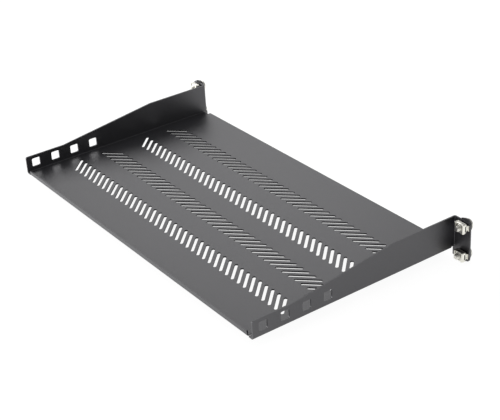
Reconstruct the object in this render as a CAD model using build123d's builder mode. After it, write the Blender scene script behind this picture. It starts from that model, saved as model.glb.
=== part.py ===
# Vented one-unit cantilever shelf for 19-inch racks, folded from one steel sheet,
# with the four sets of rail hardware that are screwed to its ears.
# Frame: +X to the right seen from the front of the rack, +Y into the rack, +Z up.
# Origin: centre of the four rail holes, on the rear faces of the ears, which seat on the rails.
from build123d import *
import os

# Sheet metal, mm
sheet = 1.5
bend_inside = 0.5
bend_outside = bend_inside + sheet

# Shelf body
body_width = 440.0
reach = 248.0
deck_drop = 14.0
wall_front_height = 36.0
wall_rear_height = 20.0
slope_front = 78.5
slope_rear = 198.5
kink_radius = 6.0
wall_corner_radius = 1.5

# Hem folded under the front edge of the deck
hem_gap = 0.4
hem_length = 9.0
hem_end_inset = 10.0
front_relief_depth = 5.0
front_relief_radius = 1.2

# Stop lip folded up along the rear edge of the deck
lip_height = 5.8
lip_setout = 0.5
lip_end_inset = 8.5
lip_corner_radius = 1.5
rear_relief_width = 2.0
rear_relief_depth = 5.0

# Vent slots, in rows that slant left and right by turns
slot_length = 28.0
slot_width = 3.5
slot_angle = 45.0
slot_pitch = 10.0
slots_per_row = 40
slot_rows = 4
row_pitch = 45.0
front_row_y = 59.0

# Square holes near the rear end of each wall
square_hole = 10.0
square_hole_radius = 1.6
square_hole_pitch = 25.0
square_holes_per_wall = 4
square_hole_height = 11.2
square_hole_rear_margin = 12.0

# Mounting ears
ear_reach = 21.3
ear_height = 44.0
ear_corner_radius = 3.5
ear_relief = 1.0
rail_hole_inset = 8.75
rail_hole_rise = 31.75
ear_slot_length = 10.0
ear_slot_height = 7.0

# Rail screw, M6
screw_diameter = 6.0
screw_length = 14.0
head_diameter = 12.0
head_height = 4.6
head_edge_radius = 2.0
recess_span = 6.6
recess_width = 1.3
recess_depth = 2.6
recess_taper = 12.0
screw_tip_chamfer = 0.7

# Cup washer
washer_diameter = 16.5
washer_height = 3.2
washer_floor_thickness = 2.0
washer_rim = 0.7
washer_edge = 0.2
shank_clearance = 0.3
head_clearance = 0.2

# Cage nut: square nut held in a cage bent from spring steel strip
strip = 0.7
cage_width = 12.4
cage_height = 9.6
cage_depth = 7.2
cage_bend = 0.5
wing_depth = 1.8
wing_height = 6.0
wing_hook = 1.4
nut_play = 0.2
nut_collar_diameter = 7.8
nut_collar_height = 0.9
nut_corner_radius = 0.6
collar_clearance = 0.1
thread_clearance = 0.05

# Levels and edges worked out from the sizes above
deck_bottom = -deck_drop
deck_top = deck_bottom + sheet
wall_top = deck_bottom + wall_front_height
ear_bottom = wall_top - ear_height
ear_front = -sheet
half_width = body_width / 2
ear_tip = half_width + ear_reach
rail_hole_spacing = 2 * (ear_tip - rail_hole_inset)
wall_start = bend_inside
hem_radius = sheet + hem_gap / 2
hem_middle = deck_top - hem_radius
hem_turn = ear_front + hem_radius
hem_half_span = half_width - hem_end_inset
front_relief_end = ear_front + front_relief_depth
lip_face = reach + lip_setout
lip_turn = lip_face - bend_outside
lip_half_span = half_width - lip_end_inset
rear_relief_middle = lip_half_span + rear_relief_width / 2

# Shelf tray: the whole folded sheet
with BuildPart() as shelf_tray:
    # Deck and side walls as one folded channel
    with BuildSketch(Plane.XZ.offset(-reach)):
        with BuildLine():
            FilletPolyline(
                (-half_width, wall_top),
                (-half_width, deck_bottom),
                (half_width, deck_bottom),
                (half_width, wall_top),
                radius=bend_outside,
            )
            offset(amount=sheet, side=Side.LEFT)
        make_face()
    extrude(amount=reach - wall_start)

    # Walls cut down from the high front to the low rear
    with BuildSketch(Plane.YZ):
        with BuildLine():
            crest = FilletPolyline(
                (reach + sheet, deck_bottom + wall_rear_height),
                (slope_rear, deck_bottom + wall_rear_height),
                (slope_front, wall_top),
                (0, wall_top),
                radius=kink_radius,
            )
            Polyline(crest @ 1, (0, wall_top + sheet), (reach + sheet, wall_top + sheet), crest @ 0)
        make_face()
    extrude(amount=half_width, both=True, mode=Mode.SUBTRACT)
    rear_edges = shelf_tray.edges().filter_by(Axis.X).group_by(Axis.Y)[-1]
    fillet(rear_edges.group_by(Axis.Z)[-1], wall_corner_radius)

    # Deck trimmed back to its rear fold, with reliefs at the four corners
    with BuildSketch(Plane.XY.offset(deck_bottom)):
        with Locations((0, lip_turn)):
            Rectangle(
                2 * lip_half_span,
                bend_outside,
                align=(Align.CENTER, Align.MIN),
            )
        with GridLocations(2 * rear_relief_middle, 0, 2, 1):
            with Locations((0, reach)):
                SlotOverall(2 * rear_relief_depth, rear_relief_width, rotation=90)
        with GridLocations(2 * (hem_half_span + half_width / 2), 0, 2, 1):
            RectangleRounded(half_width, 2 * front_relief_end, front_relief_radius)
    extrude(amount=bend_outside, mode=Mode.SUBTRACT)

    # Hem folded under the front edge
    with BuildSketch(Plane.YZ):
        with BuildLine():
            Line((ear_front + hem_length, deck_top), (hem_turn, deck_top))
            ThreePointArc(
                (hem_turn, deck_top),
                (ear_front, hem_middle),
                (hem_turn, hem_middle - hem_radius),
            )
            Line(
                (hem_turn, hem_middle - hem_radius),
                (ear_front + hem_length, hem_middle - hem_radius),
            )
            offset(amount=sheet, side=Side.LEFT)
        make_face()
    extrude(amount=hem_half_span, both=True)

    # Stop lip folded up along the rear edge
    with BuildSketch(Plane.YZ):
        with BuildLine():
            FilletPolyline(
                (lip_turn - sheet, deck_bottom),
                (lip_face, deck_bottom),
                (lip_face, deck_bottom + lip_height),
                radius=bend_outside,
            )
            offset(amount=sheet, side=Side.LEFT)
        make_face()
    extrude(amount=lip_half_span, both=True)
    lip_edges = shelf_tray.edges().filter_by(Axis.Y).filter_by(
        lambda edge: edge.center().Y > lip_face - sheet and abs(edge.length - sheet) < 0.001
    )
    fillet(lip_edges.group_by(Axis.Z)[-1], lip_corner_radius)

    # Vent slots
    with BuildSketch(Plane.XY.offset(deck_top)):
        for row in range(slot_rows):
            slant = slot_angle if row % 2 == 0 else -slot_angle
            with Locations((0, front_row_y + row * row_pitch)):
                with GridLocations(slot_pitch, 0, slots_per_row, 1):
                    SlotOverall(slot_length, slot_width, rotation=slant)
    extrude(amount=-sheet, mode=Mode.SUBTRACT)

    # Square holes through both walls
    holes_length = (square_holes_per_wall - 1) * square_hole_pitch
    holes_middle = reach - square_hole_rear_margin - holes_length / 2
    with BuildSketch(Plane.YZ):
        with Locations((holes_middle, deck_bottom + square_hole_height)):
            with GridLocations(square_hole_pitch, 0, square_holes_per_wall, 1):
                RectangleRounded(square_hole, square_hole, square_hole_radius)
    extrude(amount=half_width, both=True, mode=Mode.SUBTRACT)

    # Ears folded outwards from the front ends of the walls
    for side in (-1, 1):
        with BuildSketch(Plane.XY.offset(deck_bottom + bend_outside + ear_relief)):
            with BuildLine():
                FilletPolyline(
                    (side * (half_width - sheet), wall_start + sheet),
                    (side * (half_width - sheet), ear_front),
                    (side * ear_tip, ear_front),
                    radius=bend_outside,
                )
                offset(amount=sheet, side=Side.LEFT if side > 0 else Side.RIGHT)
            make_face()
        extrude(amount=wall_front_height - bend_outside - ear_relief)

        # Flat lower end of the ear, below the fold
        with BuildSketch(Plane.XZ):
            with Locations((side * ear_tip, ear_bottom)):
                Rectangle(
                    ear_reach + bend_outside,
                    deck_bottom + bend_outside - ear_bottom,
                    align=(Align.MAX if side > 0 else Align.MIN, Align.MIN),
                )
                Rectangle(
                    ear_reach - bend_inside,
                    ear_height,
                    align=(Align.MAX if side > 0 else Align.MIN, Align.MIN),
                )
        extrude(amount=sheet)
    ear_tips = shelf_tray.edges().filter_by(Axis.Y).group_by(Axis.X)
    fillet(ear_tips[0] + ear_tips[-1], ear_corner_radius)

    # Obround rail holes
    with BuildSketch(Plane.XZ):
        with GridLocations(rail_hole_spacing, rail_hole_rise, 2, 2):
            SlotOverall(ear_slot_length, ear_slot_height)
    extrude(amount=sheet, mode=Mode.SUBTRACT)

# Cup washer: conical outside, with a recess that takes the screw's head
washer_back = ear_front
washer_front = washer_back - washer_height
washer_floor = washer_back - washer_floor_thickness
cup_radius = head_diameter / 2 + head_clearance
with BuildPart() as cup_washer:
    with BuildSketch(Plane.XY):
        with BuildLine():
            Polyline(
                (screw_diameter / 2 + shank_clearance, washer_back),
                (washer_diameter / 2, washer_back),
                (cup_radius + washer_rim, washer_front),
                (cup_radius, washer_front),
                (cup_radius, washer_floor),
                (screw_diameter / 2 + shank_clearance, washer_floor),
                close=True,
            )
        make_face()
    revolve(axis=Axis.Y)
    chamfer(cup_washer.edges().group_by(Axis.Y)[0], washer_edge)

# Rail screw: pan head with a cross recess, shank through washer, ear and nut
head_front = washer_floor - head_height
with BuildPart() as rail_screw:
    with BuildSketch(Plane.XZ.offset(-head_front)):
        Circle(head_diameter / 2)
    extrude(amount=-head_height)
    fillet(rail_screw.edges().group_by(Axis.Y)[0], head_edge_radius)
    with BuildSketch(Plane.XZ.offset(-washer_floor)):
        Circle(screw_diameter / 2)
    extrude(amount=-screw_length)
    chamfer(rail_screw.edges().group_by(Axis.Y)[-1], screw_tip_chamfer)
    with BuildSketch(Plane.XZ.offset(-head_front)):
        Rectangle(recess_span, recess_width)
        Rectangle(recess_width, recess_span)
    extrude(amount=-recess_depth, taper=recess_taper, mode=Mode.SUBTRACT)

# Square nut with a round collar at its rear face
nut_rear = cage_depth - strip
nut_front = wing_depth + strip + nut_play
nut_side = cage_width - 2 * (strip + cage_bend) - nut_play
with BuildPart() as square_nut:
    with BuildSketch(Plane.XZ.offset(-nut_front)):
        RectangleRounded(nut_side, nut_side, nut_corner_radius)
    extrude(amount=nut_front - nut_rear)
    with BuildSketch(Plane.XZ.offset(-nut_rear)):
        Circle(nut_collar_diameter / 2)
    extrude(amount=-nut_collar_height)
    with BuildSketch(Plane.XZ.offset(-nut_front)):
        Circle(screw_diameter / 2 + thread_clearance)
    extrude(amount=nut_front - nut_rear - nut_collar_height, mode=Mode.SUBTRACT)

# Cage: strip folded round the nut, with two lips behind it and two wings that meet the ear
arm_inside = cage_width / 2 - strip
lip_tip = nut_collar_diameter / 2 + collar_clearance
with BuildPart() as nut_cage:
    with BuildSketch(Plane.XY.offset(-cage_height / 2)):
        with BuildLine():
            FilletPolyline(
                (lip_tip, nut_rear),
                (arm_inside, nut_rear),
                (arm_inside, wing_depth + strip),
                (-arm_inside, wing_depth + strip),
                (-arm_inside, nut_rear),
                (-lip_tip, nut_rear),
                radius=cage_bend,
            )
            offset(amount=strip, side=Side.LEFT)
        make_face()
    extrude(amount=cage_height)
    with BuildSketch(Plane.XY.offset(-wing_height / 2)):
        for side in (-1, 1):
            with BuildLine():
                FilletPolyline(
                    (side * (arm_inside + strip + wing_hook), 0),
                    (side * arm_inside, 0),
                    (side * arm_inside, (nut_rear + wing_depth) / 2),
                    radius=cage_bend + strip,
                )
                offset(amount=strip, side=Side.RIGHT if side > 0 else Side.LEFT)
            make_face()
    extrude(amount=wing_height)
    with BuildSketch(Plane.XZ.offset(-wing_depth)):
        Circle(screw_diameter / 2 + shank_clearance)
    extrude(amount=-strip, mode=Mode.SUBTRACT)

shelf_tray.part.label = "shelf_tray"
os.makedirs("parts", exist_ok=True)
export_step(shelf_tray.part, "parts/shelf_tray.step")

# One set of hardware at each rail hole
for level, z in (("upper", rail_hole_rise / 2), ("lower", -rail_hole_rise / 2)):
    for side, x in (("left", -rail_hole_spacing / 2), ("right", rail_hole_spacing / 2)):
        for kind, piece in (
            ("rail_screw", rail_screw),
            ("cup_washer", cup_washer),
            ("square_nut", square_nut),
            ("nut_cage", nut_cage),
        ):
            with BuildPart() as placed:
                with Locations((x, 0, z)):
                    add(piece.part)
            placed.part.label = f"{kind}_{level}_{side}"
            export_step(placed.part, f"parts/{placed.part.label}.step")
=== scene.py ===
"""Looks of a vented one-unit rack shelf: finishes, rail hardware and a plain studio."""

import logging
import math
from collections.abc import Callable
from dataclasses import dataclass
from enum import Enum

import bmesh
import bpy
from mathutils import Matrix, Vector


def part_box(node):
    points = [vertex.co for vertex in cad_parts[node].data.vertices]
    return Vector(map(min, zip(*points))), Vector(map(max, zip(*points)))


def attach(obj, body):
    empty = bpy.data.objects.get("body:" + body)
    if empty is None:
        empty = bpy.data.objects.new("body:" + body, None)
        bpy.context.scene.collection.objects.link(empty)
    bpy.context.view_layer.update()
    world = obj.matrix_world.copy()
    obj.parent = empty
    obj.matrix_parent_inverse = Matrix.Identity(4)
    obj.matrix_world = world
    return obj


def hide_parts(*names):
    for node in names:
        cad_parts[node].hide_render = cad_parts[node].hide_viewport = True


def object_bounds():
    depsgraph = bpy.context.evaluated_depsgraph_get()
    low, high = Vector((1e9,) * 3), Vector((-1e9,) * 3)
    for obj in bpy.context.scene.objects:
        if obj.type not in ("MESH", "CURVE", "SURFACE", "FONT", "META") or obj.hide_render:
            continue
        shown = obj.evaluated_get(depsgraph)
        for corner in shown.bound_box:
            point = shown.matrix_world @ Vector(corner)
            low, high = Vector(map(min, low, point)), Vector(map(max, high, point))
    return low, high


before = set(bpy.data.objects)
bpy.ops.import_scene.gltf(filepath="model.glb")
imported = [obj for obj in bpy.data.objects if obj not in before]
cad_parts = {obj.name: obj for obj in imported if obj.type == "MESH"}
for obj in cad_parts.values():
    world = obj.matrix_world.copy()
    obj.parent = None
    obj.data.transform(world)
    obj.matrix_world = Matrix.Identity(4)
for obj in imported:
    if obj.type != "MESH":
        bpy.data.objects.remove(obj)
cad_low, cad_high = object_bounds()

MM = 0.001
WHITE = (1.0, 1.0, 1.0, 1.0)
SMOOTH_ANGLE = math.radians(30)
UPRIGHT_LEAN = 0.3
log = logging.getLogger("rack_shelf")


class Slot(Enum):
    """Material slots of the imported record."""

    POWDER_COAT = "powder_coat"
    ZINC = "zinc"
    SPRING_STEEL = "spring_steel"
    BLACK_PLASTIC = "black_plastic"


class Corner(Enum):
    """The four rail holes, by the ending of their nodes' names."""

    UPPER_LEFT = "upper_left"
    UPPER_RIGHT = "upper_right"
    LOWER_LEFT = "lower_left"
    LOWER_RIGHT = "lower_right"


@dataclass(frozen=True)
class Wire:
    """Short ways to place and link shader nodes in one node tree."""

    tree: bpy.types.NodeTree

    def add(self, kind: str, **values: object) -> bpy.types.Node:
        """Adds a node and sets its sockets and settings by name.

        Args:
            kind: Blender's name of the node type.
            **values: socket names, with spaces as underscores, or node settings.

        Returns:
            The new node.
        """
        node = self.tree.nodes.new(kind)
        for name, value in values.items():
            socket = node.inputs.get(name.replace("_", " "))
            if socket is not None:
                socket.default_value = value
            else:
                setattr(node, name, value)
        return node

    def link(self, start: bpy.types.NodeSocket, end: bpy.types.NodeSocket) -> None:
        """Links an output to an input."""
        self.tree.links.new(start, end)


def grain_group() -> bpy.types.NodeTree:
    """Builds the shared group that gives fine grain and slow unevenness over a surface.

    Returns:
        The node group, with Height, Speckle and Drift outputs.
    """
    found = bpy.data.node_groups.get("surface_grain")
    if found is not None:
        return found
    group = bpy.data.node_groups.new("surface_grain", "ShaderNodeTree")
    for name in ("Grain Scale", "Drift Scale"):
        group.interface.new_socket(name, in_out="INPUT", socket_type="NodeSocketFloat")
    for name in ("Height", "Speckle", "Drift"):
        group.interface.new_socket(name, in_out="OUTPUT", socket_type="NodeSocketFloat")
    wire = Wire(group)
    start = wire.add("NodeGroupInput")
    end = wire.add("NodeGroupOutput")
    place = wire.add("ShaderNodeTexCoord")
    grain = wire.add("ShaderNodeTexNoise", Detail=3.0, Roughness=0.6)
    speckle = wire.add("ShaderNodeTexVoronoi")
    drift = wire.add("ShaderNodeTexNoise", Detail=2.0, Roughness=0.5)
    for node, scale in ((grain, "Grain Scale"), (speckle, "Grain Scale"), (drift, "Drift Scale")):
        wire.link(place.outputs["Object"], node.inputs["Vector"])
        wire.link(start.outputs[scale], node.inputs["Scale"])
    wire.link(grain.outputs["Fac"], end.inputs["Height"])
    wire.link(speckle.outputs["Distance"], end.inputs["Speckle"])
    wire.link(drift.outputs["Fac"], end.inputs["Drift"])
    return group


def punched_wall_group() -> bpy.types.NodeTree:
    """Builds the group that masks upright faces inside a box, such as the walls of punched slots.

    Returns:
        The node group, with Centre and Reach inputs and a Mask output.
    """
    found = bpy.data.node_groups.get("punched_walls")
    if found is not None:
        return found
    group = bpy.data.node_groups.new("punched_walls", "ShaderNodeTree")
    for name in ("Centre", "Reach"):
        group.interface.new_socket(name, in_out="INPUT", socket_type="NodeSocketVector")
    group.interface.new_socket("Mask", in_out="OUTPUT", socket_type="NodeSocketFloat")
    wire = Wire(group)
    start = wire.add("NodeGroupInput")
    end = wire.add("NodeGroupOutput")
    place = wire.add("ShaderNodeTexCoord")
    parts = []
    for source in (
        place.outputs["Object"],
        start.outputs["Centre"],
        start.outputs["Reach"],
        place.outputs["Normal"],
    ):
        part = wire.add("ShaderNodeSeparateXYZ")
        wire.link(source, part.inputs["Vector"])
        parts.append(part)
    spot, centre, reach, facing = parts
    upright = wire.add("ShaderNodeMath", operation="COMPARE")
    upright.inputs[1].default_value = 0.0
    upright.inputs[2].default_value = UPRIGHT_LEAN
    wire.link(facing.outputs["Z"], upright.inputs[0])
    mask = upright
    for axis in "XYZ":
        inside = wire.add("ShaderNodeMath", operation="COMPARE")
        both = wire.add("ShaderNodeMath", operation="MULTIPLY")
        wire.link(spot.outputs[axis], inside.inputs[0])
        wire.link(centre.outputs[axis], inside.inputs[1])
        wire.link(reach.outputs[axis], inside.inputs[2])
        wire.link(mask.outputs["Value"], both.inputs[0])
        wire.link(inside.outputs["Value"], both.inputs[1])
        mask = both
    wire.link(mask.outputs["Value"], end.inputs["Mask"])
    return group


@dataclass(frozen=True)
class Finish:
    """One finish: a Principled shader whose colour, roughness and normal vary by the shared grain."""

    slot: Slot
    colour: tuple[float, float, float]
    shade_spread: float
    roughness: float
    roughness_spread: float
    metallic: float
    grain_scale: float
    grain_height: float
    drift_scale: float
    ior: float = 1.5
    gloss_tint: tuple[float, float, float] = (1.0, 1.0, 1.0)

    def material(self) -> bpy.types.Material:
        """Builds the material.

        Returns:
            The new material, named after its slot.
        """
        material = bpy.data.materials.new(self.slot.value)
        material.use_nodes = True
        material.node_tree.nodes.clear()
        wire = Wire(material.node_tree)
        end = wire.add("ShaderNodeOutputMaterial")
        coat = wire.add("ShaderNodeBsdfPrincipled", Metallic=self.metallic, IOR=self.ior)
        coat.inputs["Specular Tint"].default_value = (*self.gloss_tint, 1.0)
        grain = wire.add("ShaderNodeGroup", node_tree=grain_group())
        grain.inputs["Grain Scale"].default_value = self.grain_scale
        grain.inputs["Drift Scale"].default_value = self.drift_scale
        shade = wire.add("ShaderNodeMix", data_type="RGBA")
        shade.inputs["A"].default_value = self.tone(1.0 - self.shade_spread)
        shade.inputs["B"].default_value = self.tone(1.0 + self.shade_spread)
        rough = wire.add("ShaderNodeMapRange")
        rough.inputs["To Min"].default_value = self.roughness - self.roughness_spread
        rough.inputs["To Max"].default_value = self.roughness + self.roughness_spread
        bump = wire.add("ShaderNodeBump", Strength=1.0, Distance=self.grain_height)
        wire.link(grain.outputs["Drift"], shade.inputs["Factor"])
        wire.link(grain.outputs["Speckle"], rough.inputs["Value"])
        wire.link(grain.outputs["Height"], bump.inputs["Height"])
        wire.link(shade.outputs["Result"], coat.inputs["Base Color"])
        wire.link(rough.outputs["Result"], coat.inputs["Roughness"])
        wire.link(bump.outputs["Normal"], coat.inputs["Normal"])
        wire.link(coat.outputs["BSDF"], end.inputs["Surface"])
        return material

    def tone(self, share: float) -> tuple[float, float, float, float]:
        """Returns the colour times a share, with full alpha."""
        return (*(channel * share for channel in self.colour), 1.0)


POWDER = Finish(
    slot=Slot.POWDER_COAT,
    colour=(0.0128, 0.013, 0.0155),
    shade_spread=0.10,
    roughness=0.43,
    roughness_spread=0.05,
    metallic=0.0,
    grain_scale=1500.0,
    grain_height=0.02 * MM,
    drift_scale=8.0,
    ior=1.82,
    gloss_tint=(0.975, 0.965, 1.0),
)
ZINC = Finish(
    slot=Slot.ZINC,
    colour=(0.70, 0.69, 0.64),
    shade_spread=0.08,
    roughness=0.30,
    roughness_spread=0.06,
    metallic=1.0,
    grain_scale=900.0,
    grain_height=0.01 * MM,
    drift_scale=60.0,
)
SPRING = Finish(
    slot=Slot.SPRING_STEEL,
    colour=(0.78, 0.77, 0.70),
    shade_spread=0.08,
    roughness=0.32,
    roughness_spread=0.06,
    metallic=1.0,
    grain_scale=700.0,
    grain_height=0.01 * MM,
    drift_scale=50.0,
)
PLASTIC = Finish(
    slot=Slot.BLACK_PLASTIC,
    colour=(0.02, 0.02, 0.021),
    shade_spread=0.05,
    roughness=0.38,
    roughness_spread=0.05,
    metallic=0.0,
    grain_scale=1200.0,
    grain_height=0.01 * MM,
    drift_scale=30.0,
)


def dress(node: bpy.types.Object, material: bpy.types.Material) -> None:
    """Gives a CAD node one material in all its slots.

    Args:
        node: the node's object.
        material: the material that it takes.
    """
    node.data.materials.clear()
    node.data.materials.append(material)


@dataclass
class ShelfTray:
    """The folded sheet."""

    finish: Finish = POWDER
    node: str = "shelf_tray"
    slot_field_centre: tuple[float, float, float] = (0.0, 126.5 * MM, -13.25 * MM)
    slot_field_reach: tuple[float, float, float] = (208.0 * MM, 82.0 * MM, 0.74 * MM)
    # painted shade: the near-black colour of the slot walls stands in for the shade inside the
    # punched slots
    slot_wall_painted_shade: tuple[float, float, float, float] = (0.004, 0.004, 0.005, 1.0)
    slot_wall_roughness: float = 0.95

    def build(self) -> bpy.types.Object:
        """Dresses the sheet.

        Returns:
            The sheet's object.
        """
        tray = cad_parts[self.node]
        material = self.finish.material()
        self.paint_shade_on_slot_walls(material)
        dress(tray, material)
        return tray

    def paint_shade_on_slot_walls(self, material: bpy.types.Material) -> None:
        """Paints shade on the walls of the punched slots: a near-black colour stands in for the shade
        inside them, and a high roughness makes them dull.

        Args:
            material: the sheet's finish, which is changed.
        """
        wire = Wire(material.node_tree)
        coat = next(node for node in wire.tree.nodes if node.type == "BSDF_PRINCIPLED")
        walls = wire.add("ShaderNodeGroup", node_tree=punched_wall_group())
        walls.inputs["Centre"].default_value = self.slot_field_centre
        walls.inputs["Reach"].default_value = self.slot_field_reach
        # painted shade: the near-black wall colour replaces the base colour where the mask is on
        shade = wire.add("ShaderNodeMix", data_type="RGBA")
        shade.inputs["B"].default_value = self.slot_wall_painted_shade
        rough = wire.add("ShaderNodeMix", data_type="FLOAT")
        rough.inputs["B"].default_value = self.slot_wall_roughness
        for mix, socket in ((shade, coat.inputs["Base Color"]), (rough, coat.inputs["Roughness"])):
            source = socket.links[0].from_socket
            wire.link(walls.outputs["Mask"], mix.inputs["Factor"])
            wire.link(source, mix.inputs["A"])
            wire.link(mix.outputs["Result"], socket)


class Pick(Enum):
    """What a selection in edit mode is made of."""

    EDGES = "EDGE"
    FACES = "FACE"


def mm(*values: float) -> tuple[float, ...]:
    """Turns millimetres into metres."""
    return tuple(value * MM for value in values)


def near(value: float, target: float, reach: float = 0.02) -> bool:
    """Tells whether a length in metres lies at a place in millimetres."""
    return abs(value - target * MM) < reach * MM


def start_edit() -> bpy.types.Object:
    """Applies the new primitive's place and opens it in edit mode with nothing selected.

    Returns:
        The primitive's object.
    """
    bpy.ops.object.transform_apply(location=True, rotation=True, scale=True)
    bpy.ops.object.mode_set(mode="EDIT")
    bpy.ops.mesh.select_all(action="DESELECT")
    return bpy.context.object


def pick(kind: Pick, test: Callable[[Vector], bool]) -> None:
    """Selects the edges or faces whose middle passes a test.

    Args:
        kind: what is selected.
        test: tells for a middle, in metres, whether it is taken.
    """
    bpy.ops.mesh.select_mode(type=kind.value)
    bpy.ops.mesh.select_all(action="DESELECT")
    shape = bmesh.from_edit_mesh(bpy.context.object.data)
    if kind is Pick.FACES:
        for face in shape.faces:
            face.select_set(test(face.calc_center_median()))
    else:
        for edge in shape.edges:
            edge.select_set(test((edge.verts[0].co + edge.verts[1].co) / 2))
    shape.select_flush_mode()
    bmesh.update_edit_mesh(bpy.context.object.data)


def push(x: float, y: float, z: float) -> None:
    """Extrudes the selection by a step in millimetres."""
    bpy.ops.mesh.extrude_region_move(TRANSFORM_OT_translate={"value": mm(x, y, z)})


def end_edit() -> None:
    """Turns all faces outwards and leaves edit mode."""
    bpy.ops.mesh.select_all(action="SELECT")
    bpy.ops.mesh.normals_make_consistent(inside=False)
    bpy.ops.object.mode_set(mode="OBJECT")


def alone() -> None:
    """Deselects everything, so that the next primitive stands by itself."""
    if bpy.context.object is not None and bpy.context.object.mode != "OBJECT":
        bpy.ops.object.mode_set(mode="OBJECT")
    bpy.ops.object.select_all(action="DESELECT")


def add_rod(radius: float, start: float, end: float, sides: int = 48) -> None:
    """Adds a cylinder about the Y axis, from one place to another, in millimetres.

    Args:
        radius: the rod's radius.
        start: where it begins along Y.
        end: where it ends along Y.
        sides: how many flats it has.
    """
    alone()
    bpy.ops.mesh.primitive_cylinder_add(
        vertices=sides,
        radius=radius * MM,
        depth=(end - start) * MM,
        location=mm(0, (start + end) / 2, 0),
        rotation=(math.radians(90), 0, 0),
    )


def add_block(width: float, start: float, end: float, height: float) -> None:
    """Adds a block centred on the Y axis, in millimetres.

    Args:
        width: its size along X.
        start: where it begins along Y.
        end: where it ends along Y.
        height: its size along Z.
    """
    alone()
    bpy.ops.mesh.primitive_cube_add(
        size=1.0,
        location=mm(0, (start + end) / 2, 0),
        scale=mm(width, end - start, height),
    )


def apply_modifier(piece: bpy.types.Object, kind: str, **values: object) -> None:
    """Adds a modifier, sets it and applies it.

    Args:
        piece: the object that it shapes.
        kind: Blender's name of the modifier.
        **values: the modifier's settings.
    """
    alone()
    piece.select_set(True)
    bpy.context.view_layer.objects.active = piece
    modifier = piece.modifiers.new(kind.lower(), kind)
    for name, value in values.items():
        setattr(modifier, name, value)
    bpy.ops.object.modifier_apply(modifier=modifier.name)


def combine(piece: bpy.types.Object, tool: bpy.types.Object, operation: str) -> None:
    """Cuts a piece by a tool or adds the tool to it, and deletes the tool.

    Args:
        piece: the object that is kept.
        tool: the object that is used up.
        operation: DIFFERENCE or UNION.
    """
    apply_modifier(piece, "BOOLEAN", operation=operation, object=tool, solver="EXACT")
    bpy.data.objects.remove(tool)


def join(pieces: list[bpy.types.Object]) -> bpy.types.Object:
    """Joins objects into the first of them.

    Args:
        pieces: the objects, of which all but the first are used up.

    Returns:
        The first object.
    """
    alone()
    for piece in pieces:
        piece.select_set(True)
    bpy.context.view_layer.objects.active = pieces[0]
    bpy.ops.object.join()
    return pieces[0]


@dataclass(frozen=True)
class RailScrew:
    """Pan-head M6 rail screw with a cross recess and a rolled thread, in millimetres."""

    head_front: float = -8.1
    head_back: float = -3.5
    head_radius: float = 6.0
    head_dome: float = 2.0
    dome_segments: int = 6
    core_radius: float = 2.55
    crest_radius: float = 3.0
    tip: float = 10.5
    tip_chamfer: float = 0.6
    pitch: float = 1.0
    turns: int = 12
    thread_steps: int = 24
    thread_bite: float = 0.1
    weld_reach: float = 0.001
    end_sides: int = 6
    crest_share: float = 0.15
    ridge_width: float = 0.9
    thread_start: float = -2.4
    recess_span: float = 6.6
    recess_width: float = 1.3
    recess_depth: float = 2.6
    recess_floor_share: float = 0.6
    recess_overshoot: float = 1.0

    def build(self) -> bpy.types.Object:
        """Builds the screw about the Y axis.

        Returns:
            The screw's object.
        """
        add_rod(self.head_radius, self.head_front, self.head_back)
        screw = start_edit()
        pick(Pick.EDGES, lambda middle: near(middle.y, self.head_front))
        bpy.ops.mesh.bevel(offset=self.head_dome * MM, segments=self.dome_segments, affect="EDGES")
        pick(Pick.FACES, lambda middle: near(middle.y, self.head_back))
        bpy.ops.mesh.inset(thickness=(self.head_radius - self.core_radius) * MM)
        push(0, self.tip - self.head_back, 0)
        pick(Pick.EDGES, lambda middle: near(middle.y, self.tip))
        bpy.ops.mesh.bevel(offset=self.tip_chamfer * MM, segments=1, affect="EDGES")
        end_edit()
        span, bar = self.recess_span, self.recess_width
        for width, height in ((span, bar), (bar, span)):
            combine(screw, self.recess_tool(width, height), "DIFFERENCE")
        return join([screw, self.thread()])

    def recess_tool(self, width: float, height: float) -> bpy.types.Object:
        """Builds one tapered bar of the cross recess.

        Args:
            width: the bar's size along X at the head's front.
            height: the bar's size along Z at the head's front.

        Returns:
            The bar's object.
        """
        floor = self.head_front + self.recess_depth
        add_block(width, self.head_front - self.recess_overshoot, floor, height)
        bar = start_edit()
        pick(Pick.FACES, lambda middle: near(middle.y, floor))
        bpy.ops.transform.resize(value=(self.recess_floor_share, 1.0, self.recess_floor_share))
        end_edit()
        return bar

    def thread(self) -> bpy.types.Object:
        """Winds the thread's ridge about the core.

        Returns:
            The ridge's object.
        """
        alone()
        ridge_height = self.crest_radius - self.core_radius + self.thread_bite
        middle_radius = self.crest_radius - ridge_height / 2
        bpy.ops.mesh.primitive_plane_add(size=1.0, location=mm(middle_radius, self.thread_start, 0))
        bpy.context.object.scale = mm(ridge_height, self.ridge_width, 1.0)
        ridge = start_edit()
        pick(Pick.EDGES, lambda middle: near(middle.x, self.crest_radius))
        bpy.ops.transform.resize(value=(1.0, self.crest_share, 1.0))
        bpy.ops.object.mode_set(mode="OBJECT")
        apply_modifier(
            ridge,
            "SCREW",
            axis="Y",
            angle=math.tau,
            screw_offset=self.pitch * MM,
            iterations=self.turns,
            steps=self.thread_steps,
            render_steps=self.thread_steps,
            use_smooth_shade=False,
        )
        bpy.ops.object.mode_set(mode="EDIT")
        bpy.ops.mesh.select_all(action="SELECT")
        bpy.ops.mesh.remove_doubles(threshold=self.weld_reach * MM)
        bpy.ops.mesh.select_all(action="SELECT")
        bpy.ops.mesh.fill_holes(sides=self.end_sides)
        end_edit()
        return ridge


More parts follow.
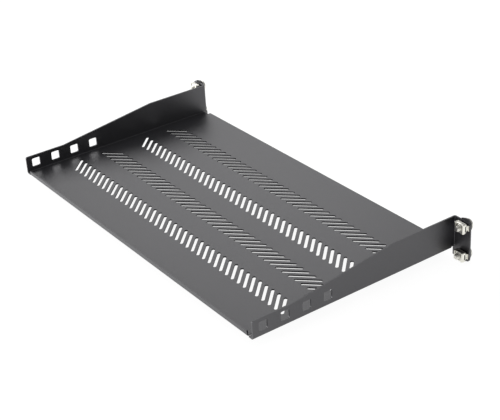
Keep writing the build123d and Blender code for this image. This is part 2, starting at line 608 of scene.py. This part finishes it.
@dataclass(frozen=True)
class SquareNut:
    """Square nut with softened corners, a round collar and a countersunk bore, in millimetres."""

    side: float = 9.8
    front: float = 2.7
    back: float = 6.5
    corner: float = 0.6
    corner_segments: int = 4
    collar_radius: float = 3.9
    collar_back: float = 7.4
    bore_radius: float = 3.02
    sink_radius: float = 3.5
    edge: float = 0.15
    edge_segments: int = 2
    overlap: float = 1.0
    overshoot: float = 0.2
    flats: int = 40

    def build(self) -> bpy.types.Object:
        """Builds the nut about the Y axis.

        Returns:
            The nut's object.
        """
        add_block(self.side, self.front, self.back, self.side)
        nut = start_edit()
        middle = (self.front + self.back) / 2
        pick(Pick.EDGES, lambda place: near(place.y, middle))
        bpy.ops.mesh.bevel(offset=self.corner * MM, segments=self.corner_segments, affect="EDGES")
        pick(Pick.EDGES, lambda place: near(place.y, self.front) or near(place.y, self.back))
        bpy.ops.mesh.bevel(offset=self.edge * MM, segments=self.edge_segments, affect="EDGES")
        end_edit()
        combine(nut, self.collar(), "UNION")
        combine(nut, self.bore(), "DIFFERENCE")
        return nut

    def collar(self) -> bpy.types.Object:
        """Builds the round collar, with a softened rim.

        Returns:
            The collar's object.
        """
        add_rod(self.collar_radius, self.back - self.overlap, self.collar_back, self.flats)
        collar = start_edit()
        pick(Pick.EDGES, lambda place: near(place.y, self.collar_back))
        bpy.ops.mesh.bevel(offset=self.edge * MM, segments=self.edge_segments, affect="EDGES")
        end_edit()
        return collar

    def bore(self) -> bpy.types.Object:
        """Builds the tool that cuts the bore and its countersinks.

        Returns:
            The tool's object.
        """
        sink = self.sink_radius - self.bore_radius
        grow = (self.sink_radius + self.overshoot) / self.bore_radius
        add_rod(self.bore_radius, self.front + sink, self.collar_back - sink, self.flats)
        bore = start_edit()
        for place, way in ((self.front + sink, -1), (self.collar_back - sink, 1)):
            pick(Pick.FACES, lambda middle: near(middle.y, place))
            push(0, way * (sink + self.overshoot), 0)
            bpy.ops.transform.resize(value=(grow, 1.0, grow))
        end_edit()
        return bore


@dataclass(frozen=True)
class NutCage:
    """Spring strip folded round the nut, with two wings that hook behind the ear, in millimetres."""

    strip: float = 0.7
    width: float = 12.4
    height: float = 9.6
    depth: float = 7.2
    plate_front: float = 1.8
    lip_tip: float = 4.0
    fold: float = 0.85
    fold_segments: int = 5
    wing_height: float = 6.0
    wing_hook: float = 1.4
    hole_radius: float = 3.3
    hole_flats: int = 40
    edge: float = 0.12
    edge_segments: int = 2
    edge_angle: float = math.radians(40)

    def build(self) -> bpy.types.Object:
        """Builds the cage about the Y axis.

        Returns:
            The cage's object.
        """
        arm = (self.width - self.strip) / 2
        front = self.plate_front + self.strip / 2
        back = self.depth - self.strip / 2
        self.add_sheet(2 * arm, self.height, front)
        cage = start_edit()
        pick(Pick.EDGES, lambda place: near(abs(place.x), arm))
        push(0, back - front, 0)
        for side in (-1, 1):
            pick(Pick.EDGES, lambda place: near(place.x, side * arm) and near(place.y, back))
            push(side * (self.lip_tip - arm), 0, 0)
        pick(
            Pick.EDGES,
            lambda place: near(abs(place.x), arm)
            and near(place.z, 0)
            and (near(place.y, front) or near(place.y, back)),
        )
        bpy.ops.mesh.bevel(offset=self.fold * MM, segments=self.fold_segments, affect="EDGES")
        end_edit()
        self.thicken(cage)
        add_rod(self.hole_radius, 0.0, front + self.strip, self.hole_flats)
        hole = start_edit()
        end_edit()
        combine(cage, hole, "DIFFERENCE")
        cage = join([cage, self.wing(-1), self.wing(1)])
        apply_modifier(
            cage,
            "BEVEL",
            width=self.edge * MM,
            segments=self.edge_segments,
            limit_method="ANGLE",
            angle_limit=self.edge_angle,
        )
        return cage

    @staticmethod
    def add_sheet(width: float, height: float, place: float) -> None:
        """Adds an upright sheet across the Y axis.

        Args:
            width: its size along X.
            height: its size along Z.
            place: where it stands along Y.
        """
        alone()
        bpy.ops.mesh.primitive_plane_add(
            size=1.0, location=mm(0, place, 0), rotation=(math.radians(90), 0, 0)
        )
        bpy.context.object.scale = (width * MM, height * MM, 1.0)

    def wing(self, side: int) -> bpy.types.Object:
        """Builds one wing: a tongue from the arm that turns out against the ear.

        Args:
            side: -1 for the wing towards -X, 1 for the other.

        Returns:
            The wing's object.
        """
        arm = (self.width - self.strip) / 2
        seat = self.strip / 2
        foot = self.wing_hook + self.strip / 2
        self.add_sheet(foot, self.wing_height, seat)
        bpy.context.object.location.x = side * (arm + foot / 2) * MM
        wing = start_edit()
        pick(Pick.EDGES, lambda place: near(place.x, side * arm))
        push(0, (self.depth + self.plate_front) / 2 - seat, 0)
        pick(Pick.EDGES, lambda place: near(place.x, side * arm) and near(place.y, seat))
        bpy.ops.mesh.bevel(offset=self.fold * MM, segments=self.fold_segments, affect="EDGES")
        end_edit()
        self.thicken(wing)
        return wing

    def thicken(self, piece: bpy.types.Object) -> None:
        """Gives a sheet the strip's thickness.

        Args:
            piece: the sheet's object, which is changed.
        """
        apply_modifier(piece, "SOLIDIFY", thickness=self.strip * MM, offset=0.0, use_even_offset=True)
        bpy.ops.object.mode_set(mode="EDIT")
        end_edit()


@dataclass
class RailHardware:
    """The four sets of screw, cup washer, square nut and cage."""

    screw: RailScrew = RailScrew()
    nut: SquareNut = SquareNut()
    cage: NutCage = NutCage()

    def build(self) -> list[bpy.types.Object]:
        """Builds one of each kind, sets a copy at each rail hole and dresses the washers.

        Returns:
            The finished pieces and the dressed washers.
        """
        placed = []
        zinc = ZINC.material()
        spring = SPRING.material()
        for kind, source, material, slot in (
            ("rail_screw", self.screw.build(), zinc, Slot.ZINC),
            ("square_nut", self.nut.build(), zinc, Slot.ZINC),
            ("nut_cage", self.cage.build(), spring, Slot.SPRING_STEEL),
        ):
            for corner in Corner:
                placed.append(self.place(source, f"{kind}_{corner.value}", material, slot))
            bpy.data.objects.remove(source)
        plastic = PLASTIC.material()
        for corner in Corner:
            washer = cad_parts[f"cup_washer_{corner.value}"]
            dress(washer, plastic)
            placed.append(washer)
        return placed

    def place(
        self, source: bpy.types.Object, node: str, material: bpy.types.Material, slot: Slot
    ) -> bpy.types.Object:
        """Sets a copy of a finished piece where its CAD node is.

        Args:
            source: the piece, modelled about the Y axis.
            node: the CAD node that the copy stands for.
            material: the copy's finish.
            slot: the record's slot of that finish; not used.

        Returns:
            The copy.
        """
        low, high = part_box(node)
        copy = source.copy()
        copy.data = source.data.copy()
        copy.name = f"{node}_detailed"
        bpy.context.collection.objects.link(copy)
        middle = (Vector(low) + Vector(high)) / 2
        copy.data.transform(Matrix.Translation((middle.x, 0.0, middle.z)))
        copy.data.materials.clear()
        copy.data.materials.append(material)
        alone()
        copy.select_set(True)
        bpy.context.view_layer.objects.active = copy
        bpy.ops.object.shade_smooth_by_angle(angle=SMOOTH_ANGLE)
        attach(copy, "root")
        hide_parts(node)
        return copy


@dataclass(frozen=True)
class Softbox:
    """A rectangular lamp that looks at the shelf."""

    name: str
    place: tuple[float, float, float]
    aim: tuple[float, float, float]
    width: float
    height: float
    watts: float

    def build(self) -> bpy.types.Object:
        """Adds the lamp, turned to its aim.

        Returns:
            The lamp's object.
        """
        bpy.ops.object.light_add(type="AREA", location=self.place)
        lamp = bpy.context.object
        lamp.name = self.name
        lamp.data.shape = "RECTANGLE"
        lamp.data.size = self.width
        lamp.data.size_y = self.height
        lamp.data.energy = self.watts
        away = Vector(self.place) - Vector(self.aim)
        lamp.rotation_euler = away.to_track_quat("Z", "Y").to_euler()
        return lamp


@dataclass
class Studio:
    """White floor, soft lamps and the camera."""

    floor_level: float = cad_low.z - 0.4 * MM
    floor_half_size: float = 6.0
    floor_bounce: float = 0.80
    floor_glow: float = 0.94
    floor_shadow_share: float = 0.16
    mirrored_glow: float = 0.60
    mirrored_share: float = 1.0
    world_light: float = 0.34
    camera_azimuth: float = 235.688
    camera_elevation: float = 28.835
    camera_roll: float = -3.539
    camera_place: tuple[float, float, float] = (-0.99634, 0.77237, 0.63535)
    focal_pixels: float = 1262.866
    photo_width_pixels: float = 500.0
    sensor_width: float = 36.0
    clip_start: float = 0.01
    lamps: tuple[Softbox, ...] = (
        Softbox("far_softbox", (1.50, -0.85, 1.05), (0.0, 0.15, 0.0), 1.4, 1.1, 7.5),
        Softbox("top_softbox", (0.1, 0.2, 1.8), (0.0, 0.1, 0.0), 1.8, 1.4, 8.0),
        Softbox("rear_softbox", (1.25, 1.15, 0.26), (0.0, 0.25, 0.0), 1.8, 0.5, 28.0),
    )

    def build(self) -> None:
        """Adds the floor, the world, the lamps and the camera."""
        self.build_floor()
        self.build_world()
        for lamp in self.lamps:
            lamp.build()
        self.build_camera()

    def build_floor(self) -> bpy.types.Object:
        """Adds the floor, white to the camera and with a faint shadow.

        Returns:
            The floor's object.
        """
        bpy.ops.object.select_all(action="DESELECT")
        bpy.ops.mesh.primitive_plane_add(
            size=2 * self.floor_half_size, location=(0, 0, self.floor_level)
        )
        floor = bpy.context.object
        floor.name = "floor"
        bpy.ops.object.transform_apply(location=True, rotation=True, scale=True)
        material = bpy.data.materials.new("white_floor")
        material.use_nodes = True
        material.node_tree.nodes.clear()
        wire = Wire(material.node_tree)
        end = wire.add("ShaderNodeOutputMaterial")
        path = wire.add("ShaderNodeLightPath")
        mirrored = wire.add("ShaderNodeMath", operation="MAXIMUM")
        indirect = wire.add("ShaderNodeMixShader")
        mix = wire.add("ShaderNodeMixShader")
        wire.link(path.outputs["Is Glossy Ray"], mirrored.inputs[0])
        wire.link(path.outputs["Is Transmission Ray"], mirrored.inputs[1])
        wire.link(mirrored.outputs["Value"], indirect.inputs["Fac"])
        wire.link(self.floor_layer(wire, self.floor_bounce, 0.0), indirect.inputs[1])
        wire.link(self.floor_layer(wire, self.mirrored_share, self.mirrored_glow), indirect.inputs[2])
        wire.link(path.outputs["Is Camera Ray"], mix.inputs["Fac"])
        wire.link(indirect.outputs["Shader"], mix.inputs[1])
        wire.link(self.floor_layer(wire, self.floor_shadow_share, self.floor_glow), mix.inputs[2])
        wire.link(mix.outputs["Shader"], end.inputs["Surface"])
        floor.data.materials.append(material)
        return floor

    @staticmethod
    def floor_layer(wire: Wire, share: float, glow: float) -> bpy.types.NodeSocket:
        """Adds a matt white that takes the object's shadow, on top of an even glow.

        Args:
            wire: the node tree that the shaders are added to.
            share: how much of the light that falls on the floor it gives back.
            glow: the even part, where 1 is white.

        Returns:
            The shader socket of the two together.
        """
        matt = wire.add("ShaderNodeBsdfDiffuse", Color=(share, share, share, 1.0))
        even = wire.add("ShaderNodeEmission", Color=WHITE, Strength=glow)
        both = wire.add("ShaderNodeAddShader")
        wire.link(matt.outputs["BSDF"], both.inputs[0])
        wire.link(even.outputs["Emission"], both.inputs[1])
        return both.outputs["Shader"]

    def build_world(self) -> None:
        """Sets the world: white to the camera and even soft light on the object."""
        world = bpy.data.worlds.new("studio_world")
        bpy.context.scene.world = world
        world.use_nodes = True
        world.node_tree.nodes.clear()
        wire = Wire(world.node_tree)
        end = wire.add("ShaderNodeOutputWorld")
        path = wire.add("ShaderNodeLightPath")
        light = wire.add("ShaderNodeBackground", Strength=self.world_light)
        white = wire.add("ShaderNodeBackground", Strength=1.0)
        for background in (light, white):
            background.inputs["Color"].default_value = WHITE
        mix = wire.add("ShaderNodeMixShader")
        wire.link(path.outputs["Is Camera Ray"], mix.inputs["Fac"])
        wire.link(light.outputs["Background"], mix.inputs[1])
        wire.link(white.outputs["Background"], mix.inputs[2])
        wire.link(mix.outputs["Shader"], end.inputs["Surface"])
        bpy.context.scene.view_settings.view_transform = "Standard"

    def build_camera(self) -> None:
        """Adds the camera at the photograph's angle and distance."""
        turn = (
            Matrix.Rotation(math.radians(self.camera_azimuth), 4, "Z")
            @ Matrix.Rotation(math.radians(90.0 - self.camera_elevation), 4, "X")
            @ Matrix.Rotation(math.radians(self.camera_roll), 4, "Z")
        )
        bpy.ops.object.camera_add(location=self.camera_place, rotation=turn.to_euler())
        camera = bpy.context.object
        camera.data.sensor_fit = "HORIZONTAL"
        camera.data.sensor_width = self.sensor_width
        camera.data.lens = self.focal_pixels / self.photo_width_pixels * self.sensor_width
        camera.data.clip_start = self.clip_start
        bpy.context.scene.camera = camera


def main() -> None:
    """Builds the shelf's looks and the studio, and reports each piece."""
    logging.basicConfig(level=logging.INFO, format="%(message)s")
    tray = ShelfTray().build()
    log.info("tray dressed: %s", tray.name)
    for piece in RailHardware().build():
        log.info("hardware dressed: %s", piece.name)
    Studio().build()
    log.info("studio built")


if __name__ == "__main__":
    main()
